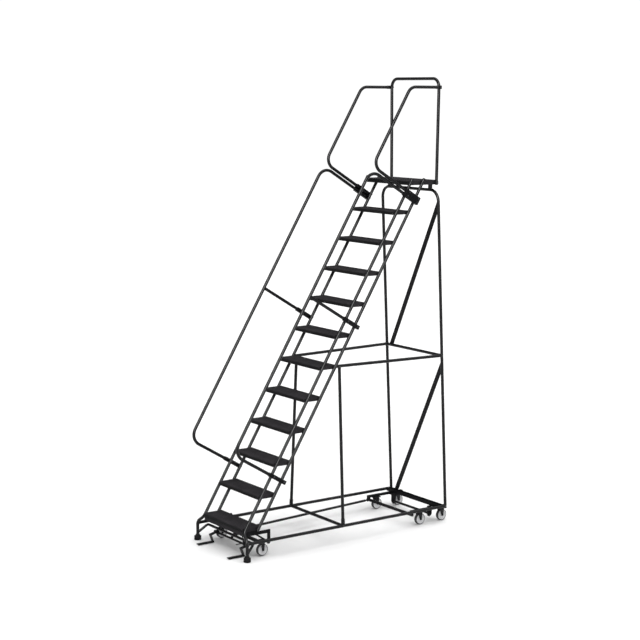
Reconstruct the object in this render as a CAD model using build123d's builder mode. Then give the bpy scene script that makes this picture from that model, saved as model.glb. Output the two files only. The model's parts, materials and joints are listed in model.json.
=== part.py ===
from build123d import *

import math
import os

# Rolling library ladder: twelve levels, sloped twin-tube stringers, tubular rails,
# a rear support frame, and a floor lock that lowers two front casters to roll.
# Millimetres. X is to the climber's right, Y runs rearward, Z is up, floor at Z 0.

# ---- driving dimensions -------------------------------------------------------

RISE = 254.0                 # tread to tread
GOING = 153.0                # each tread is this much further back
TREADS = 11                  # the twelfth level is the platform
TUBE = 27.0                  # outside diameter of the frame tubes
WALL = 2.0
STRINGER_X = 313.0
STRINGER_GAP = 132.0         # rear stringer behind the front one, along Y
STRINGER_TOP = 3062.0
REAR_STRINGER_FOOT = 222.0
RAIL_X = STRINGER_X + TUBE + 0.2

TREAD_HALF = 299.0
TREAD_FRONT = 32.0           # nose in front of the front stringer line
TREAD_DEPTH = 178.0
SHEET = 3.0
LIP = 31.0
APRON_Z = 191.0
PLATFORM_Z = 3048.0
PLATFORM_Y0 = 1826.0
PLATFORM_Y1 = 2130.0
PLATFORM_LIP = 38.0

BASE_X = 389.0
BASE_Z = 148.0
LEG_Y = 115.0
SPLAY_BEND = 58.0
FOOT_R = 31.0
FOOT_H = 34.0
CROSS_Y = 1084.0             # posts and middle cross bar of the base
POST_TOP_X = 316.0
MID_Z = 1516.0               # middle frame
MID_REAR_Y = 2146.0
REAR_FOOT_Y = 2225.0         # rear frame plane meets the floor here
REAR_LEAN = 0.0522           # and leans forward by this much per mm of height
REAR_TOP_Z = 2964.0
REAR_BEND = 98.0

BRACE_W = 46.0

GUARD_Y = 2113.0
GUARD_TOP_Z = 3915.5
GUARD_BEND = 75.0
GUARD_FOOT_X = 312.9
GUARD_TOP_X = 326.3
SIDE_RAIL_Z = 3842.0
RAIL_BEND = 100.0

WHEEL_R = 50.8
WHEEL_W = 30.0
FRONT_WHEEL = (308.0, 55.0)  # Y, Z of the raised front casters
REAR_KINGPINS = (1971.0, 2220.0)
TRAIL = 15.0
CASTER_X = 313.0
CASTER_TOP = 119.0           # caster plates bolt up against this height

LEVER_Y, LEVER_Z, LEVER_R = 208.0, 88.0, 9.0
LEVER_X = 240.0
FRAME_PIVOT = (387.0, 100.0)
TRUCK_PIVOT = (2144.0, 61.0)
TRUCK_BAR_Y = 1894.0
TRUCK_HALF = 331.0
LUG_X, HANGER_X, LUG_HALF = 255.0, 264.0, 22.0
PIN_R = 8.0
SHAFT_R = 11.0
FIT = 0.06                   # radial running clearance
ROD_D = 22.0
ROD_SLACK = 0.9              # the rear eye is loose on its pin
ROD_FRONT = (-125.0, 387.0, 111.0)
ROD_REAR = (-288.0, 1864.0, 105.0)

LEVER_TIP_Y = 25.0
MID_Y = (LEVER_TIP_Y + REAR_KINGPINS[1] + TRAIL + WHEEL_R) / 2

SLOPE = GOING / RISE
SIDES = {"left": -1, "right": 1}
UP_SLOPE = Vector(0, GOING, RISE).normalized()
DOWN_ARM = Vector(0, RISE, -GOING).normalized()

os.makedirs("parts", exist_ok=True)


# ---- helpers --------------------------------------------------------------------

def at(x, y, z):
    """A point given from the floor point under the stringers, as the part's own frame."""
    return Vector(x, y - MID_Y, z)


def front_line(z):
    """Y of the front stringer centre at height z."""
    return SLOPE * z


def rear_plane(z):
    """Y of the rear frame at height z."""
    return REAR_FOOT_Y - REAR_LEAN * z


def sweep_round(points, bend, outer, wall=None):
    """Sweep a round bar, or a tube when a wall is given, along a bent path."""
    with BuildLine() as path:
        if len(points) == 2:
            Line(points[0], points[1])
        else:
            FilletPolyline(*points, radius=bend)
    with BuildSketch(Plane(origin=path.line @ 0, z_dir=path.line % 0)) as shape:
        Circle(outer / 2)
        if wall:
            Circle(outer / 2 - wall, mode=Mode.SUBTRACT)
    sweep(shape.sketch, path=path.line)


def bar_tool(points, bend, outer):
    """A solid bar, used to cope a tube end against the tube it meets."""
    with BuildPart() as tool:
        sweep_round(points, bend, outer)
    return tool.part


def drill_x(spots, radius, x0, x1):
    """Drill along X at each (y, z)."""
    for y, z in spots:
        with BuildSketch(Plane.YZ.offset(x0)) as shape:
            with Locations((y - MID_Y, z)):
                Circle(radius)
        extrude(shape.sketch, amount=x1 - x0, mode=Mode.SUBTRACT)


def plate_x(outline, x0, thickness, mode=Mode.ADD):
    """A flat plate standing across X, from an outline of (y, z) points."""
    with BuildSketch(Plane.YZ.offset(x0)) as shape:
        with BuildLine():
            Polyline(*[(y - MID_Y, z) for y, z in outline], close=True)
        make_face()
    extrude(shape.sketch, amount=thickness, mode=mode)


def ribbon(points, thickness):
    """Outline of a bent strap that follows a line of (y, z) points, corners mitred."""
    count = len(points)
    normals = []
    for (y0, z0), (y1, z1) in zip(points, points[1:]):
        run = math.hypot(y1 - y0, z1 - z0)
        normals.append(((z0 - z1) / run, (y1 - y0) / run))
    upper, lower = [], []
    for i, (y, z) in enumerate(points):
        (ay, az), (by, bz) = normals[max(i - 1, 0)], normals[min(i, count - 2)]
        grow = thickness / (1 + ay * by + az * bz)
        my, mz = (ay + by) * grow / 2, (az + bz) * grow / 2
        upper.append((y + my, z + mz))
        lower.append((y - my, z - mz))
    return upper + lower[::-1]


def disc_x(y, z, radius, x0, x1, mode=Mode.ADD):
    """A round boss, pin or hole along X."""
    with BuildSketch(Plane.YZ.offset(x0)) as shape:
        with Locations((y - MID_Y, z)):
            Circle(radius)
    extrude(shape.sketch, amount=x1 - x0, mode=mode)


def block(x0, x1, y0, y1, z0, z1, mode=Mode.ADD):
    """A rectangular bar or plate between two corners."""
    with BuildSketch(Plane.XY.offset(z0)) as shape:
        with Locations(((x0 + x1) / 2, (y0 + y1) / 2 - MID_Y)):
            Rectangle(x1 - x0, y1 - y0)
    extrude(shape.sketch, amount=z1 - z0, mode=mode)


def save(piece, name):
    """Label one finished piece and write it to its own file."""
    piece.part.label = name
    export_step(piece.part, f"parts/{name}.step")


# ---- rail geometry shared by tubes, brackets and bolts ---------------------------

# Each arm leaves its rail square to the stringers and runs down past both of them.
# An arm is known by the Z at which its line would cross Y 0.
ARM_DROP = GOING / RISE
ARMS = {"bottom": 905.5, "middle": 2588.0, "top": 3988.0, "upper": 4027.5}
RAIL_OFFSET = -524.0         # lower handrail in front of the front stringer, along Y
SIDE_OFFSET = -522.0         # sloped run of the side rail


def arm_point(arm, y):
    return y, ARMS[arm] - ARM_DROP * y


def arm_cross(arm, offset):
    """Where an arm crosses a line that runs parallel to the stringers."""
    y = (SLOPE * ARMS[arm] + offset) / (1 + SLOPE * ARM_DROP)
    return arm_point(arm, y)


def arm_bolts(arm):
    return [arm_cross(arm, 0), arm_cross(arm, STRINGER_GAP)]


BOLT_R = 4.0
REACH_FRONT = 46.0           # a bracket runs this far past the front stringer centre
REACH_REAR = 22.0            # bracket and arm end this far past the rear stringer centre


def arm_ends(arm):
    """The two ends of a bracket along its arm, as (y, z)."""
    near, far = arm_bolts(arm)
    start = near[0] - REACH_FRONT * DOWN_ARM.Y
    end = far[0] + REACH_REAR * DOWN_ARM.Y
    return arm_point(arm, start), arm_point(arm, end)


# ---- stringers --------------------------------------------------------------------

def stringer_path(side, rear):
    x = side * STRINGER_X
    if rear:
        low = at(x, front_line(REAR_STRINGER_FOOT) + STRINGER_GAP, REAR_STRINGER_FOOT)
        return [low, at(x, front_line(STRINGER_TOP) + STRINGER_GAP, STRINGER_TOP)]
    splay = [at(side * BASE_X, LEG_Y, FOOT_H), at(side * BASE_X, LEG_Y, 165)]
    knee = at(x, front_line(218), 218)
    return splay + [knee, at(x, front_line(STRINGER_TOP), STRINGER_TOP)]


def make_stringers():
    spots = {False: [arm_bolts(arm)[0] for arm in ARMS], True: [arm_bolts(arm)[1] for arm in ARMS]}
    for name, side in SIDES.items():
        for rear, word in ((False, "front"), (True, "rear")):
            with BuildPart() as stringer:
                sweep_round(stringer_path(side, rear), SPLAY_BEND, TUBE, WALL)
                low = min(side * (STRINGER_X - TUBE), side * (STRINGER_X + TUBE))
                drill_x(spots[rear], BOLT_R + FIT, low, low + 2 * TUBE)
            save(stringer, f"{word}_stringer_{name}")


# ---- treads and platform ------------------------------------------------------------

def pan(half, y0, y1, top, lip, nose):
    """A folded sheet pan, open below, with a rounded nose."""
    with BuildSketch(Plane.YZ.offset(-half)) as shape:
        with BuildLine():
            Polyline((y0 - MID_Y, top - lip), (y0 - MID_Y, top), (y1 - MID_Y, top),
                     (y1 - MID_Y, top - lip), close=True)
        make_face()
    extrude(shape.sketch, amount=2 * half)
    noses = (edges().filter_by(Axis.X).group_by(Axis.Z)[-1]).sort_by(Axis.Y)
    fillet(noses[0], nose)
    inner = half - SHEET
    block(-inner, inner, y0 + SHEET, y1 - SHEET, top - lip, top - SHEET - 1, Mode.SUBTRACT)


def make_treads():
    for level in range(1, TREADS + 1):
        top = RISE * level
        y0 = front_line(top) - TREAD_FRONT
        with BuildPart() as tread:
            pan(TREAD_HALF, y0, y0 + TREAD_DEPTH, top, LIP, 7)
            middle = y0 + TREAD_DEPTH / 2
            # a stiffening rib across the underside
            block(-TREAD_HALF + SHEET, TREAD_HALF - SHEET, middle - 2, middle + 2,
                  top - LIP + 6, top - SHEET)
            if level == 1:
                # the lowest tread has an apron that hides the lever shaft
                inner = TREAD_HALF - SHEET - 2.1
                block(-inner, inner, y0 + 5, y0 + 8, APRON_Z, top - LIP + 4)
                block(-inner, inner, y0 + SHEET - 0.5, y0 + 8, top - LIP + 1, top - LIP + 4)
        save(tread, f"tread_{level:02d}")


def make_platform():
    with BuildPart() as platform:
        pan(TREAD_HALF, PLATFORM_Y0, PLATFORM_Y1, PLATFORM_Z, PLATFORM_LIP, 6)
        for share in (1 / 3, 2 / 3):
            y = PLATFORM_Y0 + share * (PLATFORM_Y1 - PLATFORM_Y0)
            block(-TREAD_HALF + SHEET, TREAD_HALF - SHEET, y - 2, y + 2,
                  PLATFORM_Z - PLATFORM_LIP + 8, PLATFORM_Z - SHEET)
        drill_x(GUARD_BOLTS, BOLT_R + FIT, -TREAD_HALF - 1, TREAD_HALF + 1)
    save(platform, "platform")


# ---- rails --------------------------------------------------------------------------

GUARD_BOLTS = [(GUARD_Y, 3019.0), (GUARD_Y, 3033.0)]
TAB_BOLT = (GUARD_Y, SIDE_RAIL_Z)


def rail_part(side, points, bend, arms):
    """Sweep a rail tube in its side plane and drill it for the bracket bolts."""
    x = side * RAIL_X
    sweep_round([at(x, y, z) for y, z in points], bend, TUBE, WALL)
    spots = [spot for arm in arms for spot in arm_bolts(arm)]
    drill_x(spots, BOLT_R + FIT, x - TUBE, x + TUBE)


def make_handrails():
    low_corner = arm_cross("bottom", RAIL_OFFSET)
    high_corner = arm_cross("top", RAIL_OFFSET)
    points = [arm_ends("bottom")[1], low_corner, high_corner, arm_ends("top")[1]]
    for name, side in SIDES.items():
        with BuildPart() as handrail:
            rail_part(side, points, RAIL_BEND, ["bottom", "top"])
        save(handrail, f"handrail_{name}")


def make_handrail_struts():
    """Middle struts from each handrail down across both stringers."""
    start = arm_cross("middle", RAIL_OFFSET)
    along = [arm_point("middle", start[0] + step) for step in (0, 1)]
    with BuildPart() as struts:
        for side in SIDES.values():
            rail_part(side, [along[0], arm_ends("middle")[1]], 0, ["middle"])
        for side in SIDES.values():
            x = side * RAIL_X
            run = [at(x, *arm_cross(arm, RAIL_OFFSET)) for arm in ("bottom", "top")]
            add(bar_tool(run, 0, TUBE + 0.1), mode=Mode.SUBTRACT)
    save(struts, "handrail_struts")


def make_side_rails():
    low_corner = arm_cross("upper", SIDE_OFFSET)
    high_corner = (SLOPE * SIDE_RAIL_Z + SIDE_OFFSET, SIDE_RAIL_Z)
    tube_end = (GUARD_Y - 24, SIDE_RAIL_Z)
    points = [arm_ends("upper")[1], low_corner, high_corner, tube_end]
    tab_x = guard_leg_x(SIDE_RAIL_Z) + TUBE / 2 + 0.3
    for name, side in SIDES.items():
        with BuildPart() as rail:
            rail_part(side, points, 90, ["upper"])
            # the tube end is flattened into a tab that bolts to the guard leg
            x0 = tab_x if side > 0 else -tab_x - 6
            block(x0, x0 + 6, GUARD_Y - 44, GUARD_Y + 16, SIDE_RAIL_Z - 15, SIDE_RAIL_Z + 15)
            drill_x([TAB_BOLT], BOLT_R + FIT, x0 - 1, x0 + 7)
        save(rail, f"side_rail_{name}")


def guard_leg_x(z):
    """The guard legs spread slightly toward the top."""
    share = (z - PLATFORM_Z + PLATFORM_LIP) / (GUARD_TOP_Z - PLATFORM_Z + PLATFORM_LIP)
    return GUARD_FOOT_X + share * (GUARD_TOP_X - GUARD_FOOT_X)


def make_guard():
    foot_z = PLATFORM_Z - PLATFORM_LIP
    corners = [at(-GUARD_FOOT_X, GUARD_Y, foot_z), at(-GUARD_TOP_X, GUARD_Y, GUARD_TOP_Z),
               at(GUARD_TOP_X, GUARD_Y, GUARD_TOP_Z), at(GUARD_FOOT_X, GUARD_Y, foot_z)]
    with BuildPart() as guard:
        sweep_round(corners, GUARD_BEND, TUBE, WALL)
        drill_x(GUARD_BOLTS + [TAB_BOLT], BOLT_R + FIT, -GUARD_TOP_X - TUBE, GUARD_TOP_X + TUBE)
    save(guard, "guard_rail")


# ---- rail brackets and bolts ----------------------------------------------------------

def bracket(side, arms):
    """A channel that holds one or two arm ends against the stringers."""
    (y0, z0), (y1, z1) = arm_ends(arms[0])
    spread = (ARMS[arms[-1]] - ARMS[arms[0]]) * UP_SLOPE.Z
    centre = at(0, (y0 + y1) / 2, (z0 + z1) / 2) + UP_SLOPE * spread / 2
    length = math.hypot(y1 - y0, z1 - z0)
    inner = TUBE + 0.8 + spread
    x0 = STRINGER_X + TUBE / 2 + 0.1
    depth = TUBE + 4.5
    face = Plane(origin=Vector(side * x0, centre.Y, centre.Z), x_dir=DOWN_ARM, z_dir=(side, 0, 0))
    with BuildSketch(face) as shape:
        Rectangle(length, inner + 6)
    extrude(shape.sketch, amount=depth)
    with BuildSketch(face.offset(-1)) as shape:
        Rectangle(length + 2, inner)
    extrude(shape.sketch, amount=depth - 2.5, mode=Mode.SUBTRACT)
    spots = [spot for arm in arms for spot in arm_bolts(arm)]
    low = min(side * (x0 + depth - 6), side * (x0 + depth + 2))
    drill_x(spots, BOLT_R + FIT, low, low + 8)


def make_brackets():
    for name, side in SIDES.items():
        with BuildPart() as top:
            bracket(side, ["top", "upper"])
        save(top, f"top_bracket_{name}")
    with BuildPart() as lower:
        for side in SIDES.values():
            for arm in ("bottom", "middle"):
                bracket(side, [arm])
    save(lower, "lower_brackets")


def bolt(side, y, z, x_in, x_out):
    """A through bolt along X with a hex head outside and a nut inside."""
    for start, thick in ((x_out + 0.1, 5.5), (x_in - 6.6, 6.5)):
        with BuildSketch(Plane.YZ.offset(side * start)) as shape:
            with Locations((y - MID_Y, z)):
                RegularPolygon(7.4, 6)
        extrude(shape.sketch, amount=side * thick)
    a, b = side * (x_in - 9), side * (x_out + 0.2)
    disc_x(y, z, BOLT_R, min(a, b), max(a, b))


def make_bolts():
    web = STRINGER_X + TUBE / 2 + 0.1 + TUBE + 4.5
    inner = STRINGER_X - TUBE / 2
    with BuildPart() as bolts:
        for side in SIDES.values():
            for arm in ARMS:
                for y, z in arm_bolts(arm):
                    bolt(side, y, z, inner, web)
            for y, z in GUARD_BOLTS:
                bolt(side, y, z, TREAD_HALF - SHEET, guard_leg_x(z) + TUBE / 2 + 0.3)
            y, z = TAB_BOLT
            leg_x = guard_leg_x(z)
            bolt(side, y, z, leg_x - TUBE / 2 - 0.9, leg_x + TUBE / 2 + 6.3)
    save(bolts, "rail_bolts")


# ---- rear support frame ------------------------------------------------------------------

def rear_leg(side):
    """Centre line of one rear leg, straight through its bend."""
    low, high = BASE_Z - TUBE / 2, REAR_TOP_Z
    x = side * BASE_X
    return [at(x, rear_plane(low), low), at(x, rear_plane(high), high)]


def make_rear_frame():
    left, right = rear_leg(-1), rear_leg(1)
    with BuildPart() as frame:
        sweep_round([left[0], left[1], right[1], right[0]], REAR_BEND, TUBE, WALL)
        # standoffs carry the back of the platform
        y = rear_plane(REAR_TOP_Z)
        for x in (-282, 282):
            block(x - 17, x + 17, y - 10, y + 10, REAR_TOP_Z + 8, PLATFORM_Z - PLATFORM_LIP)
        add(bar_tool([left[1], right[1]], 0, TUBE - 2 * WALL), mode=Mode.SUBTRACT)
    save(frame, "rear_frame")


def trim_ends(half):
    """Drop what lies beyond x = +-half."""
    split(bisect_by=Plane(origin=(half, 0, 0), z_dir=(1, 0, 0)), keep=Keep.BOTTOM)
    split(bisect_by=Plane(origin=(-half, 0, 0), z_dir=(1, 0, 0)), keep=Keep.TOP)


def base_line(side):
    x = side * BASE_X
    return [at(x, LEG_Y, BASE_Z), at(x, rear_plane(BASE_Z), BASE_Z)]


def post_line(side):
    return [at(side * BASE_X, CROSS_Y, BASE_Z), at(side * POST_TOP_X, CROSS_Y, MID_Z)]


CROSS_LINE = [at(-BASE_X, CROSS_Y, BASE_Z), at(BASE_X, CROSS_Y, BASE_Z)]
MID_LINE = [at(-BASE_X, rear_plane(MID_Z), MID_Z), at(BASE_X, rear_plane(MID_Z), MID_Z)]


def mid_line(side):
    y0 = front_line(MID_Z) + STRINGER_GAP
    return [at(side * STRINGER_X, y0, MID_Z), at(side * BASE_X, MID_REAR_Y, MID_Z)]


def make_mid_frame():
    for name, side in SIDES.items():
        with BuildPart() as bar:
            sweep_round(mid_line(side), 0, TUBE, WALL)
            add(bar_tool(stringer_path(side, True), 0, TUBE + 0.1), mode=Mode.SUBTRACT)
            add(bar_tool(rear_leg(side), 0, TUBE + 0.1), mode=Mode.SUBTRACT)
            add(bar_tool(MID_LINE, 0, TUBE + 0.1), mode=Mode.SUBTRACT)
            front = mid_line(side)[0]
            split(bisect_by=Plane(origin=front, z_dir=(0, 1, 0)), keep=Keep.TOP)
        save(bar, f"mid_side_bar_{name}")
    with BuildPart() as rear:
        sweep_round(MID_LINE, 0, TUBE, WALL)
        for side in SIDES.values():
            add(bar_tool(rear_leg(side), 0, TUBE + 0.1), mode=Mode.SUBTRACT)
        trim_ends(BASE_X - TUBE / 2 + 2)
    save(rear, "mid_rear_bar")


def make_posts():
    for name, side in SIDES.items():
        with BuildPart() as post:
            sweep_round(post_line(side), 0, TUBE, WALL)
            # a pressed cap thickens the foot of the post
            low = post_line(side)[0] + Vector(0, 0, 12)
            rise = (post_line(side)[1] - post_line(side)[0]).normalized()
            sweep_round([low, low + rise * 48], 0, TUBE + 6, 3)
            add(bar_tool(base_line(side), 0, TUBE + 0.1), mode=Mode.SUBTRACT)
            add(bar_tool(mid_line(side), 0, TUBE + 0.1), mode=Mode.SUBTRACT)
            add(bar_tool(CROSS_LINE, 0, TUBE + 0.1), mode=Mode.SUBTRACT)
            split(bisect_by=Plane(origin=(0, 0, BASE_Z), z_dir=(0, 0, 1)), keep=Keep.TOP)
        save(post, f"post_{name}")


def make_base():
    for name, side in SIDES.items():
        with BuildPart() as tube:
            sweep_round(base_line(side), 0, TUBE, WALL)
            add(bar_tool(stringer_path(side, False), SPLAY_BEND, TUBE + 0.1), mode=Mode.SUBTRACT)
            add(bar_tool(rear_leg(side), 0, TUBE + 0.1), mode=Mode.SUBTRACT)
            for y, keep in ((LEG_Y, Keep.TOP), (rear_plane(BASE_Z), Keep.BOTTOM)):
                split(bisect_by=Plane(origin=at(0, y, 0), z_dir=(0, 1, 0)), keep=keep)
        save(tube, f"base_tube_{name}")
    with BuildPart() as cross:
        sweep_round(CROSS_LINE, 0, TUBE, WALL)
        for side in SIDES.values():
            add(bar_tool(base_line(side), 0, TUBE + 0.1), mode=Mode.SUBTRACT)
        trim_ends(BASE_X - TUBE / 2 + 2)
    save(cross, "base_cross_bar")


CHANNEL_Y0, CHANNEL_Y1 = 2152.0, 2200.0
CHANNEL_Z0, CHANNEL_Z1 = 133.0, 163.0


def make_rear_channel():
    half = BASE_X - TUBE / 2 - 0.1
    with BuildPart() as channel:
        block(-half, half, CHANNEL_Y0, CHANNEL_Y1, CHANNEL_Z0, CHANNEL_Z1)
        block(-half, half, CHANNEL_Y0 + 4, CHANNEL_Y1 - 4, CHANNEL_Z0 + 4, CHANNEL_Z1,
              Mode.SUBTRACT)
    save(channel, "rear_channel")


def brace(x0, z0, x1, z1):
    """A flat bar lying in the plane of the rear frame."""
    start, end = at(x0, rear_plane(z0), z0), at(x1, rear_plane(z1), z1)
    along = (end - start).normalized()
    normal = Vector(0, 1, REAR_LEAN).normalized()
    with BuildSketch(Plane(origin=(start + end) / 2 - normal * 3, x_dir=along, z_dir=normal)) as shape:
        Rectangle((end - start).length, BRACE_W)
    extrude(shape.sketch, amount=6)


def make_braces():
    with BuildPart() as upper:
        brace(-350, 1470, 400, 2870)
        add(bar_tool(MID_LINE, 0, TUBE + 0.2), mode=Mode.SUBTRACT)
        add(bar_tool(rear_leg(1), 0, TUBE + 0.2), mode=Mode.SUBTRACT)
        split(bisect_by=Plane(origin=at(0, 0, MID_Z), z_dir=(0, 0, 1)), keep=Keep.TOP)
        trim_ends(BASE_X)
    save(upper, "upper_brace")
    with BuildPart() as lower:
        brace(-318, 135, 400, 1458)
        add(bar_tool(rear_leg(1), 0, TUBE + 0.2), mode=Mode.SUBTRACT)
        block(-BASE_X, 0, CHANNEL_Y0 - 20, REAR_FOOT_Y + 10, 0, CHANNEL_Z1 + 0.1, Mode.SUBTRACT)
        # the foot steps forward onto the rear lip of the channel
        block(-308, -268, CHANNEL_Y1 - 4, rear_plane(200) + 3, CHANNEL_Z1 + 0.1, CHANNEL_Z1 + 6)
        trim_ends(BASE_X)
    save(lower, "lower_brace")


# ---- front of the base ---------------------------------------------------------------------

CROSS_TUBE = 22.0
CROSS_TUBE_X, CROSS_TUBE_Y, CROSS_TUBE_Z = 358.0, 197.0, 130.0
TAB_TIP_Y = 103.0


def make_front_cross_tube():
    """A bent tube under the base tubes, its ends braced down onto the front legs."""
    with BuildPart() as cross:
        ends = []
        for side in (-1, 1):
            foot = at(side * BASE_X, LEG_Y, 62)
            corner = at(side * CROSS_TUBE_X, CROSS_TUBE_Y, CROSS_TUBE_Z)
            ends.append([foot, corner])
        sweep_round([*ends[0], *reversed(ends[1])], 26, CROSS_TUBE, WALL)
        for side in (-1, 1):
            leg = [at(side * BASE_X, LEG_Y, 20), at(side * BASE_X, LEG_Y, 160)]
            add(bar_tool(leg, 0, TUBE + 0.1), mode=Mode.SUBTRACT)
            # ears that carry the lever shaft
            x0 = side * 205 - 3
            ear = [(CROSS_TUBE_Y - 8, CROSS_TUBE_Z - 4), (LEVER_Y - 14, LEVER_Z - 4),
                   (LEVER_Y - 8, LEVER_Z - 14), (LEVER_Y + 8, LEVER_Z - 14),
                   (LEVER_Y + 14, LEVER_Z), (CROSS_TUBE_Y + 9, CROSS_TUBE_Z - 4)]
            plate_x(ear, x0, 6)
            disc_x(LEVER_Y, LEVER_Z, LEVER_R + FIT, x0 - 1, x0 + 7, Mode.SUBTRACT)
        split(bisect_by=Plane(origin=at(0, LEG_Y, 0), z_dir=(0, 1, 0)), keep=Keep.TOP)
        # a short toe tab reaches forward over the right pedal
        plate_x(ribbon([(TAB_TIP_Y, 112), (188, 114), (CROSS_TUBE_Y, CROSS_TUBE_Z)], 5), 233, 14)
        # clear the bore of the tube where the ears entered it
        bore = [at(-CROSS_TUBE_X + 40, CROSS_TUBE_Y, CROSS_TUBE_Z),
                at(CROSS_TUBE_X - 40, CROSS_TUBE_Y, CROSS_TUBE_Z)]
        add(bar_tool(bore, 0, CROSS_TUBE - 2 * WALL), mode=Mode.SUBTRACT)
    save(cross, "front_cross_tube")


def make_side_plates():
    """Plates welded inside the stringers; they end in a lug for the caster frame."""
    py, pz = FRAME_PIVOT
    for name, side in SIDES.items():
        x0 = side * 299 - (5 if side > 0 else 0)
        outline = [(146, 222), (124, 188), (128, 181), (py - 15, 181), (py - 15, pz),
                   (py - 10.6, pz - 10.6), (py, pz - 15), (py + 10.6, pz - 10.6), (py + 15, pz),
                   (py + 15, 206), (py + 10, 211), (276, 211), (276, 222)]
        with BuildPart() as plate:
            plate_x(outline, x0, 5)
            disc_x(py, pz, PIN_R + FIT, x0 - 1, x0 + 6, Mode.SUBTRACT)
            # outrigger from the plate to the base tube
            reach = [at(side * 296, 262, 186), at(side * BASE_X, 304, BASE_Z)]
            sweep_round(reach, 0, 15)
            add(bar_tool(base_line(side), 0, TUBE + 0.1), mode=Mode.SUBTRACT)
            inner = side * 294
            low, high = sorted((inner - side * 30, inner))
            block(low, high, 240, 290, 160, 210, Mode.SUBTRACT)
            edge = side * (BASE_X - TUBE / 2 + 3)
            low, high = sorted((edge, edge + side * 40))
            block(low, high, 270, 340, 110, 190, Mode.SUBTRACT)
        save(plate, f"side_plate_{name}")


def make_feet():
    """Rubber tips on the front legs."""
    with BuildPart() as feet:
        for side in SIDES.values():
            base = at(side * BASE_X, LEG_Y, 0)
            with BuildSketch(Plane(origin=base)):
                Circle(FOOT_R)
            extrude(amount=FOOT_H + 14, taper=4)
            with BuildSketch(Plane(origin=base + Vector(0, 0, FOOT_H))):
                Circle(TUBE / 2 + 0.05)
            extrude(amount=20, mode=Mode.SUBTRACT)
        fillet(edges().filter_by(GeomType.CIRCLE).group_by(Axis.Z)[0], 4)
    save(feet, "rubber_feet")


# ---- release lever -----------------------------------------------------------------------------

def make_lever():
    with BuildPart() as shaft:
        disc_x(LEVER_Y, LEVER_Z, LEVER_R, -LEVER_X - 24, LEVER_X + 24)
        # crank with a roller that presses the caster frame tongue down
        crank = [(-10, 4), (4, -10), (20, 12), (24, 31.5), (40, 31.5), (42, 40), (36, 46), (24, 46)]
        plate_x([(LEVER_Y + y, LEVER_Z + z) for y, z in crank], -5, 10)
        disc_x(LEVER_Y + 34, LEVER_Z + 38, 8, -14, 14)
    save(shaft, "lever_shaft")

    # each arm is a strap bent like a Z: back from the shaft, down, and forward as a pedal
    path = [(LEVER_Y - 6, LEVER_Z - 2), (149, 72), (174, 9), (LEVER_TIP_Y, 9)]
    with BuildPart() as arms:
        for side in SIDES.values():
            x = side * LEVER_X
            plate_x(ribbon(path, 6), x - 19, 38)
            disc_x(LEVER_Y, LEVER_Z, LEVER_R + 5, x - 19, x + 19)
            disc_x(LEVER_Y, LEVER_Z, LEVER_R + 0.03, x - 20, x + 20, Mode.SUBTRACT)
    save(arms, "lever_arms")


# ---- casters --------------------------------------------------------------------------------------

def wheel_profile():
    """Half section of a wheel about X: hub, thin web and tread ring."""
    half = WHEEL_W / 2
    return [(0, 6.2), (half + 1.5, 6.2), (half + 1.5, 13), (half - 5, 17), (half - 7, 36),
            (half - 1, 40), (half - 1, WHEEL_R - 4), (half - 5, WHEEL_R), (0, WHEEL_R)]


def make_wheel(name, x, y, z):
    with BuildPart() as wheel:
        with BuildSketch(Plane(origin=at(x, y, z), x_dir=(1, 0, 0), z_dir=(0, -1, 0))):
            with BuildLine():
                Polyline(*wheel_profile(), close=True)
            make_face()
            mirror(about=Plane.YZ)
        revolve(axis=Axis(at(x, y, z), (1, 0, 0)))
    save(wheel, name)


def fork(x, top_y, top_z, wheel_y, wheel_z):
    """A pressed fork: crown, two legs and the axle bolt."""
    inside = WHEEL_W / 2 + 2.3
    crown_z = wheel_z + WHEEL_R + 2.6
    with BuildSketch(Plane.XY.offset(crown_z)) as shape:
        with Locations((x, top_y - MID_Y)):
            Circle(inside + 9)
        with Locations((x, (top_y + wheel_y) / 2 - MID_Y)):
            Rectangle(2 * inside + 7, abs(top_y - wheel_y) + 26)
    extrude(shape.sketch, amount=3.5)
    for side in (-1, 1):
        leg = [(top_y - 16, crown_z + 3.5), (wheel_y - 11, wheel_z - 2), (wheel_y - 6, wheel_z - 10),
               (wheel_y + 6, wheel_z - 10), (wheel_y + 11, wheel_z), (wheel_y + 17, crown_z + 3.5)]
        x0 = x + side * inside - (0 if side > 0 else 3.5)
        plate_x(leg, x0, 3.5)
    disc_x(wheel_y, wheel_z, 6.1, x - inside - 3.5, x + inside + 3.5)
    for side in (-1, 1):
        face = x + side * (inside + 3.5)
        with BuildSketch(Plane.YZ.offset(face)) as shape:
            with Locations((wheel_y - MID_Y, wheel_z)):
                RegularPolygon(9, 6)
        extrude(shape.sketch, amount=side * 6)
    # kingpin boss between the crown and the mounting plate
    with BuildSketch(Plane.XY.offset(crown_z + 3.5)) as shape:
        with Locations((x, top_y - MID_Y)):
            Circle(17)
    extrude(shape.sketch, amount=top_z - crown_z - 3.5)


def make_rear_casters():
    order = (("front", REAR_KINGPINS[0]), ("rear", REAR_KINGPINS[1]))
    for name, side in SIDES.items():
        for word, king_y in order:
            x = side * CASTER_X
            with BuildPart() as swivel:
                fork(x, king_y, CASTER_TOP - 6.3, king_y + TRAIL, WHEEL_R)
            save(swivel, f"swivel_fork_{word}_{name}")
            make_wheel(f"rear_wheel_{word}_{name}", x, king_y + TRAIL, WHEEL_R)


def make_front_casters():
    y, z = FRONT_WHEEL
    with BuildPart() as forks:
        for side in SIDES.values():
            fork(side * CASTER_X, y, CASTER_TOP, y, z)
    save(forks, "front_caster_forks")
    for name, side in SIDES.items():
        make_wheel(f"front_wheel_{name}", side * CASTER_X, y, z)


# ---- caster frame, rod and rear truck ------------------------------------------------------------------

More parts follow.
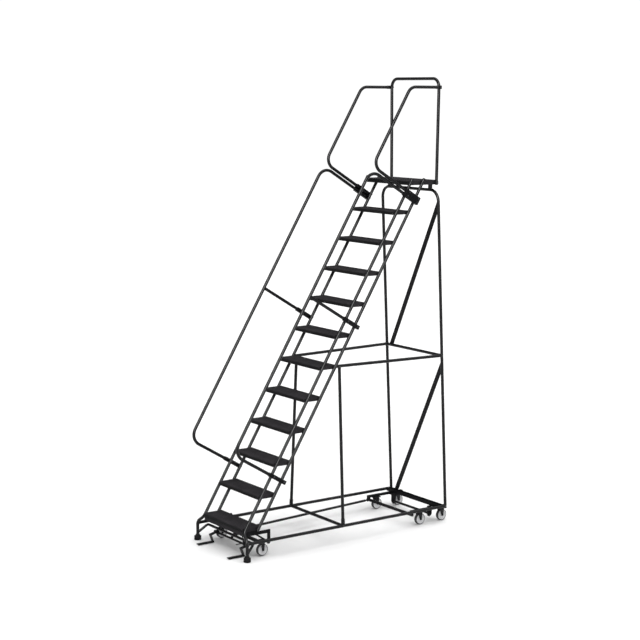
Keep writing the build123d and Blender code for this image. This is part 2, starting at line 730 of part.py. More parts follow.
def make_caster_frame():
    """Front caster frame: hinged behind the casters, with a tongue under the lever roller."""
    py, pz = FRAME_PIVOT
    wy = FRONT_WHEEL[0]
    with BuildPart() as frame:
        block(-286, 286, wy - 16, wy + 14, CASTER_TOP - 18, CASTER_TOP)
        block(-18, 18, LEVER_Y + 32, wy - 14, CASTER_TOP - 7.5, CASTER_TOP - 1.5)
        for side in (-1, 1):
            low, high = sorted((side * 250, side * 335))
            block(low, high, wy - 42, wy + 45, CASTER_TOP, CASTER_TOP + 6)
            low, high = sorted((side * 277, side * 291))
            block(low, high, wy + 40, py + 15, CASTER_TOP, CASTER_TOP + 6)
            hanger = [(wy + 50, CASTER_TOP + 1), (py - 15, pz), (py - 9, pz - 14), (py + 9, pz - 14),
                      (py + 15, pz), (py + 15, CASTER_TOP + 1)]
            x0 = side * 288 - 3
            plate_x(hanger, x0, 6)
            low, high = sorted((side * 285, side * 305))
            disc_x(py, pz, PIN_R, low, high)
        # clevis for the rod
        rx, ry, rz = ROD_FRONT
        for step in (-1, 1):
            x0 = rx + step * 12 - 3
            ear = [(wy + 10, CASTER_TOP - 16), (ry, rz - 9), (ry + 9, rz), (ry, rz + 9),
                   (wy + 10, CASTER_TOP)]
            plate_x(ear, x0, 6)
        disc_x(ry, rz, 6, rx - 15, rx + 15)
    save(frame, "caster_frame")


def make_rod():
    """Connecting rod with a flat eye at each end."""
    front, rear = at(*ROD_FRONT), at(*ROD_REAR)
    along = (rear - front).normalized()
    with BuildPart() as rod:
        sweep_round([front + along * 34, rear - along * 34], 0, ROD_D, WALL)
        for centre, away, slack in ((front, along, FIT), (rear, -along, ROD_SLACK)):
            with BuildSketch(Plane.YZ.offset(centre.X - 4)):
                with Locations((centre.Y, centre.Z)):
                    Circle(14)
                    Circle(6 + slack, mode=Mode.SUBTRACT)
            extrude(amount=8)
            sweep_round([centre + away * 9.5, centre + away * 36], 0, 10)
            sweep_round([centre + away * 32, centre + away * 38], 0, ROD_D)
    save(rod, "link_rod")


def make_truck():
    """Rear truck: two beams over the swivel casters, hung on the pivot shaft."""
    ty, tz = TRUCK_PIVOT
    top = CASTER_TOP + 18
    with BuildPart() as truck:
        block(-TRUCK_HALF, TRUCK_HALF, TRUCK_BAR_Y - 8.5, TRUCK_BAR_Y + 8.5, 88, 110)
        for side in (-1, 1):
            low, high = sorted((side * 297, side * 329))
            block(low, high, TRUCK_BAR_Y - 8.5, 2282, CASTER_TOP, top)
            block(low, high, TRUCK_BAR_Y - 8.5, TRUCK_BAR_Y + 8.5, 88, CASTER_TOP + 1)
            # the beam is cut down where it swings under the rear channel
            block(low, high, CHANNEL_Y0 - 8, CHANNEL_Y1 + 8, CHANNEL_Z0 - 4.5, top, Mode.SUBTRACT)
            low, high = sorted((side * (HANGER_X - 3), side * 300))
            block(low, high, ty - LUG_HALF, ty + LUG_HALF, CASTER_TOP, CASTER_TOP + 6)
            x0 = side * HANGER_X - 3
            hanger = [(ty - LUG_HALF, CASTER_TOP + 1), (ty - LUG_HALF, tz), (ty - 15, tz - 16),
                      (ty, tz - 22), (ty + 15, tz - 16), (ty + LUG_HALF, tz), (ty + LUG_HALF, CASTER_TOP + 1)]
            plate_x(hanger, x0, 6)
            disc_x(ty, tz, SHAFT_R + FIT, x0 - 1, x0 + 7, Mode.SUBTRACT)
            for king_y in REAR_KINGPINS:
                block(side * CASTER_X - 40, side * CASTER_X + 40, king_y - 38, king_y + 38,
                      CASTER_TOP - 6, CASTER_TOP)
        # clevis for the rod
        rx, ry, rz = ROD_REAR
        for step in (-1, 1):
            x0 = rx + step * 12 - 3
            face = TRUCK_BAR_Y - 8
            ear = [(face, 89), (ry, rz - 9), (ry - 9, rz), (ry, rz + 9), (face, 109)]
            plate_x(ear, x0, 6)
        disc_x(ry, rz, 6, rx - 15, rx + 15)
    save(truck, "rear_truck")


def make_truck_mounts():
    """Lugs under the rear channel and the shaft that the truck rocks on."""
    ty, tz = TRUCK_PIVOT
    with BuildPart() as lugs:
        for side in (-1, 1):
            x0 = side * LUG_X - 4
            outline = [(ty - LUG_HALF, CHANNEL_Z0 - 0.05), (ty - LUG_HALF, tz), (ty - 16, tz - 21),
                       (ty, tz - 29), (ty + 16, tz - 21), (ty + LUG_HALF, tz),
                       (ty + LUG_HALF, CHANNEL_Z0 - 0.05)]
            plate_x(outline, x0, 8)
            disc_x(ty, tz, SHAFT_R + 0.02, x0 - 1, x0 + 9, Mode.SUBTRACT)
    save(lugs, "truck_lugs")
    with BuildPart() as shaft:
        disc_x(ty, tz, SHAFT_R, -HANGER_X - 6, HANGER_X + 6)
    save(shaft, "truck_shaft")


make_stringers()
make_treads()
make_platform()
make_handrails()
make_handrail_struts()
make_side_rails()
make_guard()
make_brackets()
make_bolts()
make_rear_frame()
make_mid_frame()
make_posts()
make_base()
make_rear_channel()
make_braces()
make_front_cross_tube()
make_side_plates()
make_feet()
make_lever()
make_rear_casters()
make_front_casters()
make_caster_frame()
make_rod()
make_truck()
make_truck_mounts()
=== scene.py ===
import json
import math

import bmesh
import bpy
from mathutils import Matrix, Vector


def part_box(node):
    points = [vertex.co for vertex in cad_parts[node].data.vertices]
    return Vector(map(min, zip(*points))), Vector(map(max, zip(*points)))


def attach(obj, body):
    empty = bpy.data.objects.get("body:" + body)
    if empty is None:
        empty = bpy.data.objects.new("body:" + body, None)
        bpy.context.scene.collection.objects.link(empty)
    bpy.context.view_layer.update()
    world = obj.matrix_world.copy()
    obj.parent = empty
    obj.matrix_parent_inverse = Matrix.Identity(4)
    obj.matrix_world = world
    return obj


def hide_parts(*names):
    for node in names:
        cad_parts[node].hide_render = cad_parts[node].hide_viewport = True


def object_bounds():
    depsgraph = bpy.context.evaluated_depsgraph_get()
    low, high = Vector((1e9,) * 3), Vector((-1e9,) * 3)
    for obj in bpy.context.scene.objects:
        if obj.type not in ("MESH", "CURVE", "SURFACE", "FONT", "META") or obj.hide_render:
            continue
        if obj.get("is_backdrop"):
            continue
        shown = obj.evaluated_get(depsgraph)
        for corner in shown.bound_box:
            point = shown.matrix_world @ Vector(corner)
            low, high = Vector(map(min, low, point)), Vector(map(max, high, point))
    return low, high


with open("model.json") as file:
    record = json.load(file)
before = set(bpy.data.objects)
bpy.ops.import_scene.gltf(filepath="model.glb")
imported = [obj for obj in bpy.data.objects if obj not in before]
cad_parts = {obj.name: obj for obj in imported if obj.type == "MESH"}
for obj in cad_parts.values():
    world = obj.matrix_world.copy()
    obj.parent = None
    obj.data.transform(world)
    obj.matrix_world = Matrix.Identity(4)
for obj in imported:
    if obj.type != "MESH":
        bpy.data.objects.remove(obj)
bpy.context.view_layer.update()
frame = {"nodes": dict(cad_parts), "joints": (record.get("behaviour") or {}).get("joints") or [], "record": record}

scene = bpy.context.scene

# ---- sizes of the CAD model, in metres ------------------------------------------

MID_Y = 1.1554
RISE, GOING = 0.254, 0.153
SLOPE = GOING / RISE
TUBE_R = 0.0135
STRINGER_X, STRINGER_GAP = 0.313, 0.132
RAIL_X = STRINGER_X + 2 * TUBE_R + 0.0002
BASE_X, BASE_Z, CROSS_Y = 0.389, 0.148, 1.084
MID_Z, MID_REAR_Y = 1.516, 2.146
LEG_Y = 0.115
WHEEL_R = 0.0508
REAR_FOOT_Y, REAR_LEAN = 2.225, 0.0522
POST_LEAN, POST_TOP_X = 0.053, 0.316
STRINGER_TOP = 3.062
GUARD_FOOT = (0.3129, 2.113, 3.010)
LEVER_X, PEDAL_Z = 0.240, 0.012
LIP, PLATFORM_LIP = 0.031, 0.038
TREADS = 11


def at(x, y, z):
    return Vector((x, y - MID_Y, z))


def front_line(z):
    return SLOPE * z


def rear_plane(z):
    return REAR_FOOT_Y - REAR_LEAN * z


# ---- materials ------------------------------------------------------------------

def new_material(name):
    mat = bpy.data.materials.new(name)
    mat.use_nodes = True
    nodes, links = mat.node_tree.nodes, mat.node_tree.links
    shader = nodes["Principled BSDF"]
    coords = nodes.new("ShaderNodeTexCoord")
    return mat, nodes, links, shader, coords


def noise(nodes, links, coords, scale, detail=3.0, rough=0.5, stretch=None):
    tex = nodes.new("ShaderNodeTexNoise")
    tex.inputs["Scale"].default_value = scale
    tex.inputs["Detail"].default_value = detail
    tex.inputs["Roughness"].default_value = rough
    source = coords.outputs["Object"]
    if stretch:
        mapping = nodes.new("ShaderNodeMapping")
        mapping.inputs["Scale"].default_value = stretch
        links.new(source, mapping.inputs["Vector"])
        source = mapping.outputs["Vector"]
    links.new(source, tex.inputs["Vector"])
    return tex


def ramp(nodes, links, source, stops):
    node = nodes.new("ShaderNodeValToRGB")
    bar = node.color_ramp
    while len(bar.elements) < len(stops):
        bar.elements.new(0.5)
    for element, (place, colour) in zip(bar.elements, stops):
        element.position = place
        element.color = (*colour, 1.0)
    links.new(source, node.inputs["Fac"])
    return node


def spread(nodes, links, source, low, high):
    node = nodes.new("ShaderNodeMapRange")
    node.inputs["To Min"].default_value = low
    node.inputs["To Max"].default_value = high
    links.new(source, node.inputs["Value"])
    return node.outputs["Result"]


def bump(nodes, links, height, strength, distance, under=None):
    node = nodes.new("ShaderNodeBump")
    node.inputs["Strength"].default_value = strength
    node.inputs["Distance"].default_value = distance
    links.new(height, node.inputs["Height"])
    if under:
        links.new(under, node.inputs["Normal"])
    return node.outputs["Normal"]


def coated_steel(name, dark, light, gloss_low, gloss_high, shine, peel=0.02, scale=420.0):
    """Powder coat: slow colour drift, fine orange peel and slightly uneven gloss."""
    mat, nodes, links, shader, coords = new_material(name)
    drift = noise(nodes, links, coords, 7.0, 4.0)
    tone = ramp(nodes, links, drift.outputs["Fac"], [(0.35, dark), (0.68, light)])
    grain = noise(nodes, links, coords, scale, 2.0)
    smear = noise(nodes, links, coords, 45.0, 5.0, 0.6)
    links.new(tone.outputs["Color"], shader.inputs["Base Color"])
    links.new(spread(nodes, links, smear.outputs["Fac"], gloss_low, gloss_high), shader.inputs["Roughness"])
    links.new(bump(nodes, links, grain.outputs["Fac"], peel, 0.0006), shader.inputs["Normal"])
    shader.inputs["Specular IOR Level"].default_value = shine
    return mat


def grip_coat(name):
    """Tread finish: gritty anti-slip coat with paler worn grains."""
    mat, nodes, links, shader, coords = new_material(name)
    grit = nodes.new("ShaderNodeTexVoronoi")
    grit.inputs["Scale"].default_value = 420.0
    links.new(coords.outputs["Object"], grit.inputs["Vector"])
    wear = noise(nodes, links, coords, 9.0, 6.0, 0.62)
    tone = ramp(nodes, links, wear.outputs["Fac"],
                [(0.30, (0.020, 0.019, 0.021)), (0.55, (0.028, 0.026, 0.029)), (0.8, (0.040, 0.038, 0.041))])
    links.new(tone.outputs["Color"], shader.inputs["Base Color"])
    links.new(spread(nodes, links, wear.outputs["Fac"], 0.62, 0.86), shader.inputs["Roughness"])
    links.new(bump(nodes, links, grit.outputs["Distance"], 0.35, 0.0008), shader.inputs["Normal"])
    shader.inputs["Specular IOR Level"].default_value = 0.06
    return mat


def moulded(name, dark, light, rough, scale=260.0, strength=0.12, shine=0.06):
    """Rubber or plastic with a fine moulded texture and handled patches."""
    mat, nodes, links, shader, coords = new_material(name)
    blotch = noise(nodes, links, coords, 24.0, 5.0, 0.6)
    tone = ramp(nodes, links, blotch.outputs["Fac"], [(0.3, dark), (0.72, light)])
    pore = noise(nodes, links, coords, scale, 4.0, 0.6)
    links.new(tone.outputs["Color"], shader.inputs["Base Color"])
    uneven = spread(nodes, links, blotch.outputs["Fac"], rough - 0.08, rough + 0.1)
    links.new(uneven, shader.inputs["Roughness"])
    links.new(bump(nodes, links, pore.outputs["Fac"], strength, 0.0006), shader.inputs["Normal"])
    shader.inputs["Specular IOR Level"].default_value = shine
    return mat


def plated(name, dark, light, rough):
    """Dark plated steel: brushed streaks and small blotches."""
    mat, nodes, links, shader, coords = new_material(name)
    blotch = noise(nodes, links, coords, 60.0, 4.0)
    tone = ramp(nodes, links, blotch.outputs["Fac"], [(0.3, dark), (0.7, light)])
    streak = noise(nodes, links, coords, 300.0, 2.0, 0.5, (1.0, 1.0, 0.06))
    links.new(tone.outputs["Color"], shader.inputs["Base Color"])
    uneven = spread(nodes, links, streak.outputs["Fac"], rough - 0.1, rough + 0.12)
    links.new(uneven, shader.inputs["Roughness"])
    links.new(bump(nodes, links, streak.outputs["Fac"], 0.08, 0.0004), shader.inputs["Normal"])
    shader.inputs["Metallic"].default_value = 0.85
    return mat


def weld_metal(name):
    """Painted weld beads, with fine ripples."""
    mat, nodes, links, shader, coords = new_material(name)
    ripple = noise(nodes, links, coords, 500.0, 4.0, 0.7)
    tone = ramp(nodes, links, ripple.outputs["Fac"],
                [(0.3, (0.012, 0.012, 0.013)), (0.75, (0.03, 0.03, 0.032))])
    links.new(tone.outputs["Color"], shader.inputs["Base Color"])
    links.new(spread(nodes, links, ripple.outputs["Fac"], 0.35, 0.6), shader.inputs["Roughness"])
    links.new(bump(nodes, links, ripple.outputs["Fac"], 0.3, 0.0008), shader.inputs["Normal"])
    return mat


TUBE = coated_steel("black_tube_coat", (0.004, 0.004, 0.005), (0.008, 0.008, 0.009), 0.27, 0.34, 0.2, 0.01)
PLATE = coated_steel("black_plate_coat", (0.004, 0.004, 0.005), (0.009, 0.009, 0.010), 0.42, 0.56, 0.09)
DARK = coated_steel("lever_coat", (0.004, 0.004, 0.005), (0.008, 0.008, 0.009), 0.32, 0.46, 0.2)
# The nosing strips are real ribbed parts, but their near-black coat, far darker than the tread grip, is painted
# shade on the front lips, which face away from the lamps.
NOSING_PAINTED_SHADE = coated_steel("nosing_strip_painted_shade_coat", (0.003, 0.003, 0.004), (0.007, 0.007, 0.007), 0.5, 0.66, 0.1)
GRIP = grip_coat("tread_grip_coat")
WELD = weld_metal("weld_bead_coat")
RUBBER = moulded("foot_rubber", (0.008, 0.008, 0.009), (0.018, 0.017, 0.018), 0.72)
TYRE = moulded("wheel_tread_rubber", (0.05, 0.05, 0.053), (0.09, 0.09, 0.093), 0.6, 500.0, 0.1)
HUB = moulded("wheel_hub_plastic", (0.62, 0.62, 0.63), (0.76, 0.76, 0.77), 0.42, 400.0, 0.05)
CAP = moulded("end_cap_plastic", (0.012, 0.012, 0.013), (0.022, 0.022, 0.023), 0.5)
FORK = plated("caster_fork_plate", (0.012, 0.012, 0.013), (0.03, 0.03, 0.032), 0.5)
FASTENER = plated("black_oxide_bolt", (0.035, 0.035, 0.037), (0.07, 0.07, 0.075), 0.45)
ZINC = plated("zinc_bearing", (0.25, 0.25, 0.26), (0.40, 0.40, 0.41), 0.34)

SLOT_MATERIAL = {
    "black_tube": TUBE,
    "tread_finish": GRIP,
    "black_plate": PLATE,
    "foot_rubber": RUBBER,
    "fastener": FASTENER,
    "lever_paint": DARK,
    "fork_finish": FORK,
    "wheel": HUB,
}

for part in frame["record"]["subparts"]:
    node = frame["nodes"][part["node"]]
    node.data.materials.clear()
    node.data.materials.append(SLOT_MATERIAL[part["material_slot"]])


# ---- mesh helpers -----------------------------------------------------------------

def add_piece(name, mesh_maker, material, body="root", smooth=True):
    """Build one mesh with bmesh, give it its material and let it ride on a body."""
    bm = bmesh.new()
    mesh_maker(bm)
    bmesh.ops.recalc_face_normals(bm, faces=bm.faces)
    mesh = bpy.data.meshes.new(name)
    bm.to_mesh(mesh)
    bm.free()
    mesh.materials.append(material)
    if smooth:
        mesh.shade_smooth()
    obj = bpy.data.objects.new(name, mesh)
    scene.collection.objects.link(obj)
    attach(obj, body)
    return obj


def basis(axis):
    """Two directions square to an axis."""
    axis = axis.normalized()
    side = axis.orthogonal().normalized()
    return side, axis.cross(side)


def ring_strip(bm, rings, close_ends=False, close_loop=False):
    """Join rings of points, all the same length, with quads."""
    loops = [[bm.verts.new(p) for p in ring] for ring in rings]
    pairs = list(zip(loops, loops[1:]))
    if close_loop:
        pairs.append((loops[-1], loops[0]))
    count = len(loops[0])
    for a, b in pairs:
        for i in range(count):
            j = (i + 1) % count
            bm.faces.new((a[i], a[j], b[j], b[i]))
    if close_ends:
        bm.faces.new(loops[0][::-1])
        bm.faces.new(loops[-1])


def lathe(bm, centre, axis, profile, steps=48, closed=False):
    """Turn (radius, height) pairs about an axis through a centre."""
    u, w = basis(axis)
    axis = axis.normalized()
    rings = []
    for radius, height in profile:
        turn = [2 * math.pi * i / steps for i in range(steps)]
        rings.append([centre + axis * height + (u * math.cos(t) + w * math.sin(t)) * radius for t in turn])
    ring_strip(bm, rings, close_ends=not closed, close_loop=closed)


def stable_bead(bm, path, radius, up, section=8, ripple=0.18):
    """A bead whose section is held square to a fixed direction, so that it never twists."""
    count = len(path)
    rings = []
    for i, point in enumerate(path):
        along = (path[(i + 1) % count] - path[i - 1]).normalized()
        u = (up - along * up.dot(along)).normalized()
        w = along.cross(u)
        size = radius * (1 + ripple * math.sin(i * 2.1) + 0.08 * math.sin(i * 0.7))
        turn = [2 * math.pi * k / section for k in range(section)]
        rings.append([point + (u * math.cos(t) + w * math.sin(t)) * size for t in turn])
    ring_strip(bm, rings, close_loop=True)


def saddle_path(joint, run, branch, steps=64):
    """The curve where a branch tube meets the side of a run tube."""
    branch = branch.normalized()
    run = (run - branch * run.dot(branch)).normalized()
    cross = branch.cross(run)
    path = []
    for i in range(steps):
        t = 2 * math.pi * i / steps
        across = TUBE_R * math.sin(t)
        reach = math.sqrt(max(TUBE_R ** 2 - across ** 2, 0.0))
        path.append(joint + branch * reach + run * (TUBE_R * math.cos(t)) + cross * across)
    return path


# ---- weld beads -----------------------------------------------------------------------

WELD_R = 0.0026


def weld(name, joint, run, branch):
    path = saddle_path(joint, Vector(run), Vector(branch))
    add_piece(name, lambda bm: stable_bead(bm, path, WELD_R, Vector(branch).normalized()), WELD)


for word, s in (("left", -1), ("right", 1)):
    rear_run = (0, -REAR_LEAN, 1)
    weld(f"weld_base_front_{word}", at(s * BASE_X, LEG_Y, BASE_Z), (0, 0, 1), (0, 1, 0))
    weld(f"weld_base_rear_{word}", at(s * BASE_X, rear_plane(BASE_Z), BASE_Z), rear_run, (0, -1, 0))
    weld(f"weld_cross_{word}", at(s * BASE_X, CROSS_Y, BASE_Z), (0, 1, 0), (-s, 0, 0))
    weld(f"weld_mid_rear_{word}", at(s * BASE_X, rear_plane(MID_Z), MID_Z), rear_run, (-s, 0, 0))
    weld(f"weld_post_foot_{word}", at(s * BASE_X, CROSS_Y, BASE_Z), (0, 1, 0), (-s * POST_LEAN, 0, 1))
    lean = Vector((s * (BASE_X - STRINGER_X), MID_REAR_Y - front_line(MID_Z) - STRINGER_GAP, 0)).normalized()
    weld(f"weld_mid_side_rear_{word}", at(s * BASE_X, MID_REAR_Y, MID_Z), rear_run, -lean)
    weld(f"weld_mid_side_front_{word}", at(s * STRINGER_X, front_line(MID_Z) + STRINGER_GAP, MID_Z),
         (0, GOING, RISE), lean)
    weld(f"weld_post_top_{word}", at(s * POST_TOP_X, CROSS_Y, MID_Z), lean, (s * POST_LEAN, 0, -1))


# ---- end caps ---------------------------------------------------------------------------

CAP_PROFILE = [(0.0118, -0.012), (0.0118, 0.0), (0.0132, 0.0002), (0.0133, 0.0010), (0.0122, 0.0024),
               (0.0090, 0.0036), (0.0045, 0.0042), (0.0008, 0.0043)]


def end_cap(name, place, outward):
    add_piece(name, lambda bm: lathe(bm, place, Vector(outward), CAP_PROFILE, 40), CAP)


UP_SLOPE = Vector((0, GOING, RISE)).normalized()
DOWN_ARM = Vector((0, RISE, -GOING)).normalized()
ARMS = {"bottom": 0.9055, "middle": 2.588, "top": 3.988, "upper": 4.0275}
REACH = 0.022


def arm_end(arm, offset, past):
    y = (SLOPE * ARMS[arm] + offset) / (1 + SLOPE * SLOPE) + past * DOWN_ARM.y
    return y, ARMS[arm] - SLOPE * y


for word, s in (("left", -1), ("right", 1)):
    top_y = front_line(STRINGER_TOP)
    end_cap(f"cap_front_stringer_{word}", at(s * STRINGER_X, top_y, STRINGER_TOP), UP_SLOPE)
    end_cap(f"cap_rear_stringer_{word}", at(s * STRINGER_X, top_y + STRINGER_GAP, STRINGER_TOP), UP_SLOPE)
    for arm in ARMS:
        y, z = arm_end(arm, STRINGER_GAP, REACH)
        end_cap(f"cap_{arm}_arm_{word}", at(s * RAIL_X, y, z), DOWN_ARM)
    low = BASE_Z - TUBE_R
    end_cap(f"cap_rear_leg_{word}", at(s * BASE_X, rear_plane(low), low), (0, 0, -1))
    end_cap(f"cap_guard_{word}", at(s * GUARD_FOOT[0], *GUARD_FOOT[1:]), (0, 0, -1))


# ---- pressed ribs along the top brackets ---------------------------------------------------

RIB_PROUD, RIB_HALF, RIB_TAPER = 0.0016, 0.0030, 0.004


def bracket_ribs(bm, side, face_x):
    """Half-round ribs pressed lengthwise into the outer face of a top bracket."""
    start, end = arm_end("top", 0.0, -0.036), arm_end("top", STRINGER_GAP, REACH - 0.010)
    spread = (ARMS["upper"] - ARMS["top"]) * UP_SLOPE.z
    for share in (-0.30, 0.12, 0.50, 0.88, 1.30):
        rings = []
        for size, (y, z), slide in ((0.3, start, -RIB_TAPER), (1.0, start, 0.0), (1.0, end, 0.0),
                                    (0.3, end, RIB_TAPER)):
            centre = Vector((face_x, y - MID_Y, z)) + UP_SLOPE * spread * share + DOWN_ARM * slide
            turn = [2 * math.pi * k / 10 for k in range(10)]
            rings.append([centre + Vector((side * RIB_PROUD * size * math.cos(t), 0, 0))
                          + UP_SLOPE * RIB_HALF * size * math.sin(t) for t in turn])
        ring_strip(bm, rings, close_ends=True)


for word, s in (("left", -1), ("right", 1)):
    low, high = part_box(f"top_bracket_{word}")
    face_x = low.x if s < 0 else high.x
    add_piece(f"bracket_ribs_{word}", lambda bm: bracket_ribs(bm, s, face_x), PLATE)


# ---- grip studs on treads and platform ------------------------------------------------------

def grip_plate(bm, x_half, y0, y1, z):
    """A thin raised mat with rolled edges and a field of angled studs."""
    thick, inset = 0.0010, 0.0025
    outer = [(-x_half, y0), (x_half, y0), (x_half, y1), (-x_half, y1)]
    inner = [(-x_half + inset, y0 + inset), (x_half - inset, y0 + inset),
             (x_half - inset, y1 - inset), (-x_half + inset, y1 - inset)]
    low = [bm.verts.new((x, y, z)) for x, y in outer]
    high = [bm.verts.new((x, y, z + thick)) for x, y in inner]
    for i in range(4):
        j = (i + 1) % 4
        bm.faces.new((low[i], low[j], high[j], high[i]))
    bm.faces.new(high)
    bm.faces.new(low[::-1])
    pitch = 0.0215
    nx = int((2 * x_half - 0.02) / pitch)
    ny = int((y1 - y0 - 0.016) / pitch) + 1
    for i in range(nx):
        for k in range(ny):
            cx = (i - (nx - 1) / 2) * pitch
            cy = (y0 + y1) / 2 + (k - (ny - 1) / 2) * pitch
            turn = math.radians(45 if (i + k) % 2 else -45)
            along = Vector((math.cos(turn), math.sin(turn), 0))
            across = Vector((-along.y, along.x, 0))
            base = Vector((cx, cy, z + thick))
            foot = [base + along * a * 0.0078 + across * b * 0.0030 for a, b in
                    ((-1, 0), (-0.5, -1), (0.5, -1), (1, 0), (0.5, 1), (-0.5, 1))]
            crown = [base + (p - base) * 0.62 + Vector((0, 0, 0.0012)) for p in foot]
            lo = [bm.verts.new(p - Vector((0, 0, 0.0003))) for p in foot]
            hi = [bm.verts.new(p) for p in crown]
            for m in range(6):
                n = (m + 1) % 6
                bm.faces.new((lo[m], lo[n], hi[n], hi[m]))
            bm.faces.new(hi)
            bm.faces.new(lo[::-1])


decks = [(f"tread_{k:02d}", 0.008) for k in range(1, TREADS + 1)] + [("platform", 0.010)]
for node, margin in decks:
    low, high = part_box(node)
    half, y0, y1 = high.x - 0.006, low.y + margin, high.y - 0.005
    add_piece(f"grip_{node}", lambda bm: grip_plate(bm, half, y0, y1, high.z),
              GRIP, smooth=False)


def nosing(bm, x_half, front, top, lip):
    """A ribbed strip down the front lip, its back let into the lip below the rounded edge."""
    ribs, buried, proud, groove = 4, 0.0004, 0.0014, 0.0006
    start, end = top - 0.0075, top - lip + 0.002
    pitch = (start - end) / ribs
    outline = [(front + buried, start), (front - groove, start)]
    for i in range(ribs):
        z = start - i * pitch
        outline += [(front - proud, z - 0.2 * pitch), (front - proud, z - 0.7 * pitch)]
        outline += [(front - groove, z - 0.9 * pitch)]
    outline.append((front + buried, end))
    ring_strip(bm, [[Vector((x, y, z)) for y, z in outline] for x in (-x_half, x_half)], close_ends=True)


# The nosing strips carry the near-black coat that paints the shade on the front lips.
for node, margin in decks:
    low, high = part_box(node)
    lip = PLATFORM_LIP if node == "platform" else LIP
    add_piece(f"nosing_{node}", lambda bm: nosing(bm, high.x - 0.003, low.y, high.z, lip),
              NOSING_PAINTED_SHADE, smooth=False)


# ---- casters --------------------------------------------------------------------------------

def wheel_pieces(body, centre):
    """A pale moulded wheel with a darker tread ring and a bearing hub."""
    axis = Vector((1, 0, 0))
    tyre = [(0.0440, -0.0146), (0.0478, -0.0146), (0.0497, -0.0128), (0.0506, -0.0075), (WHEEL_R, 0.0),
            (0.0506, 0.0075), (0.0497, 0.0128), (0.0478, 0.0146), (0.0440, 0.0146), (0.0425, 0.0)]
    rim = [(0.0435, -0.0142), (0.0435, 0.0142), (0.0405, 0.0148), (0.0385, 0.0138), (0.0368, 0.0088),
           (0.0355, 0.0080), (0.0180, 0.0092), (0.0168, 0.0102), (0.0150, 0.0150), (0.0128, 0.0160),
           (0.0105, 0.0160), (0.0105, -0.0160), (0.0128, -0.0160), (0.0150, -0.0150), (0.0168, -0.0102),
           (0.0180, -0.0092), (0.0355, -0.0080), (0.0368, -0.0088), (0.0385, -0.0138), (0.0405, -0.0148)]
    race = [(0.0063, -0.0163), (0.0063, 0.0163), (0.0078, 0.0163), (0.0082, 0.0156), (0.0096, 0.0156),
            (0.0100, 0.0163), (0.0107, 0.0163), (0.0107, -0.0163), (0.0100, -0.0163), (0.0096, -0.0156),
            (0.0082, -0.0156), (0.0078, -0.0163)]

    def spokes(bm):
        lathe(bm, centre, axis, rim, 72, closed=True)
        for i in range(6):
            t = math.pi * i / 3
            out = Vector((0, math.cos(t), math.sin(t)))
            side = Vector((0, -math.sin(t), math.cos(t)))
            for face in (-1, 1):
                ends = []
                for radius, width in ((0.0160, 0.0034), (0.0372, 0.0024)):
                    spot = centre + out * radius
                    deep, proud = axis * face * 0.0078, axis * face * 0.0128
                    ends.append([spot - side * width + deep, spot + side * width + deep,
                                 spot + side * width * 0.6 + proud, spot - side * width * 0.6 + proud])
                ring_strip(bm, ends, close_ends=True)

    first = add_piece(f"{body}_rim", spokes, HUB, body)
    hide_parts(body)
    for word, profile, steps, material in (("tyre", tyre, 96, TYRE), ("bearing", race, 48, ZINC)):
        add_piece(f"{body}_{word}", lambda bm: lathe(bm, centre, axis, profile, steps, closed=True),
                  material, body)


for joint in frame["joints"]:
    body = joint["child"]
    if "_wheel_" in body:
        wheel_pieces(body, Vector(joint["pos_m"]))

SWIVEL_RACE = [(0.0175, -0.0003), (0.0250, 0.0003), (0.0268, 0.0016), (0.0262, 0.0030), (0.0225, 0.0042),
               (0.0205, 0.0049), (0.0175, 0.0049)]
for joint in frame["joints"]:
    body = joint["child"]
    if body.startswith("swivel_fork"):
        low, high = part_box(body)
        spot = Vector((joint["pos_m"][0], joint["pos_m"][1], high.z - 0.0051))
        add_piece(f"{body}_race", lambda bm: lathe(bm, spot, Vector((0, 0, 1)), SWIVEL_RACE, 64, closed=True),
                  ZINC, body)


# ---- rubber feet and lever pedals ---------------------------------------------------------------

def foot_profile():
    """Outside of a rubber tip with grip grooves, then the socket inside."""
    profile = [(0.0020, 0.0), (0.0270, 0.0), (0.0296, 0.0012), (0.0306, 0.0040)]
    for groove in range(3):
        z = 0.008 + groove * 0.0075
        profile += [(0.0304, z), (0.0288, z + 0.0010), (0.0288, z + 0.0024), (0.0303, z + 0.0034)]
    profile += [(0.0300, 0.0320), (0.0284, 0.0345), (0.0215, 0.0365), (0.0192, 0.0395), (0.0186, 0.0470),
                (0.0172, 0.0480), (0.0140, 0.0480), (0.0136, 0.0420), (0.0020, 0.0400)]
    return profile


def both_feet(bm):
    for s in (-1, 1):
        lathe(bm, at(s * BASE_X, LEG_Y, 0), Vector((0, 0, 1)), foot_profile(), 64)


feet = add_piece("ribbed_feet", both_feet, RUBBER)
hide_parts("rubber_feet")


def pedal_ribs(bm):
    """Rolled ribs across the flat part of each lever strap."""
    for s in (-1, 1):
        for i in range(8):
            y = 0.036 + i * 0.011
            rings = []
            for x in (-0.0165, -0.0155, 0.0155, 0.0165):
                size = 0.0006 if abs(x) > 0.016 else 0.0016
                turn = [2 * math.pi * k / 10 for k in range(10)]
                rings.append([at(s * LEVER_X + x, y + size * math.cos(t), PEDAL_Z + size * math.sin(t))
                              for t in turn])
            ring_strip(bm, rings, close_ends=True)


add_piece("pedal_ribs", pedal_ribs, DARK, "release_lever")


# ---- floor, light and camera -----------------------------------------------------------------------

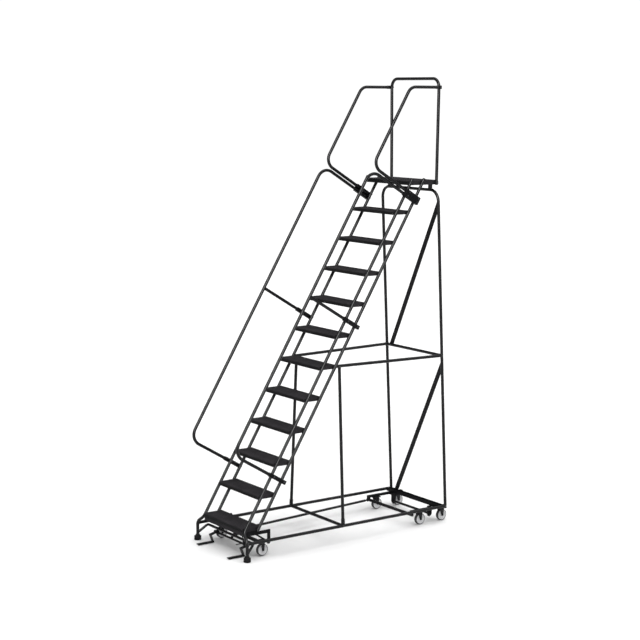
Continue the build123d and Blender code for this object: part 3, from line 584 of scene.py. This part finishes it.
def stage_floor():
    bpy.ops.mesh.primitive_plane_add(size=80, location=(0, 0, -0.0005))
    floor = bpy.context.object
    floor.name = "studio_floor"
    mat, nodes, links, shader, coords = new_material("studio_floor_paint")
    mottle = noise(nodes, links, coords, 0.8, 3.0)
    tone = ramp(nodes, links, mottle.outputs["Fac"],
                [(0.3, (0.90, 0.90, 0.90)), (0.7, (0.93, 0.93, 0.93))])
    links.new(tone.outputs["Color"], shader.inputs["Base Color"])
    shader.inputs["Roughness"].default_value = 0.9
    shader.inputs["Specular IOR Level"].default_value = 0.1
    floor.data.materials.append(mat)
    floor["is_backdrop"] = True


def softbox(name, place, target, long_side, size, power):
    """A rectangular light whose long side runs along a given direction."""
    data = bpy.data.lights.new(name, "AREA")
    data.shape = "RECTANGLE"
    data.size, data.size_y = size
    data.energy = power
    lamp = bpy.data.objects.new(name, data)
    scene.collection.objects.link(lamp)
    back = (Vector(place) - Vector(target)).normalized()
    tall = (long_side - back * long_side.dot(back)).normalized()
    turn = Matrix((tall.cross(back), tall, back)).transposed().to_4x4()
    lamp.matrix_world = Matrix.Translation(place) @ turn
    return lamp


def sun_light(name, toward, angle, strength):
    data = bpy.data.lights.new(name, "SUN")
    data.energy = strength
    data.angle = math.radians(angle)
    lamp = bpy.data.objects.new(name, data)
    scene.collection.objects.link(lamp)
    lamp.rotation_euler = Vector(toward).to_track_quat("Z", "Y").to_euler()


def studio_world():
    world = bpy.data.worlds.new("studio_world")
    scene.world = world
    world.use_nodes = True
    nodes, links = world.node_tree.nodes, world.node_tree.links
    sky = nodes["Background"]
    sky.inputs["Color"].default_value = (1.0, 1.0, 1.0, 1.0)
    sky.inputs["Strength"].default_value = 0.2
    backdrop = nodes.new("ShaderNodeBackground")
    backdrop.inputs["Color"].default_value = (1.0, 1.0, 1.0, 1.0)
    backdrop.inputs["Strength"].default_value = 1.05
    path = nodes.new("ShaderNodeLightPath")
    mix = nodes.new("ShaderNodeMixShader")
    links.new(path.outputs["Is Camera Ray"], mix.inputs[0])
    links.new(sky.outputs["Background"], mix.inputs[1])
    links.new(backdrop.outputs["Background"], mix.inputs[2])
    links.new(mix.outputs["Shader"], nodes["World Output"].inputs["Surface"])


CAMERA_PLACE = (10.516, -6.4321, 3.7702)
CAMERA_TURN, CAMERA_PITCH, CAMERA_ROLL = 54.36, 8.37, 0.38
CAMERA_LENS = 86.04


def make_camera():
    turn, pitch, roll = (math.radians(a) for a in (CAMERA_TURN, CAMERA_PITCH, CAMERA_ROLL))
    look = Vector((-math.sin(turn) * math.cos(pitch), math.cos(turn) * math.cos(pitch), -math.sin(pitch)))
    right = Vector((math.cos(turn), math.sin(turn), 0))
    up = right.cross(look)
    side = right * math.cos(roll) + up * math.sin(roll)
    top = up * math.cos(roll) - right * math.sin(roll)
    data = bpy.data.cameras.new("camera")
    data.sensor_width = 36.0
    data.lens = CAMERA_LENS
    data.clip_end = 200.0
    camera = bpy.data.objects.new("camera", data)
    scene.collection.objects.link(camera)
    place = at(*CAMERA_PLACE)
    columns = Matrix((side, top, -look)).transposed().to_4x4()
    camera.matrix_world = Matrix.Translation(place) @ columns
    scene.camera = camera


stage_floor()
studio_world()
scene.view_settings.view_transform = "Standard"
sun_light("soft_sun", (0.2, 0.1, 0.97), 100.0, 3.7)
# a softbox parallel to the stringers draws the long highlights on the sloped tubes
key = softbox("key_softbox", (6.5, -6.0, 6.6), (0, 0, 1.6), UP_SLOPE, (3.5, 8.0), 2600)
key.visible_diffuse = False
make_camera()

low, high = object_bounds()
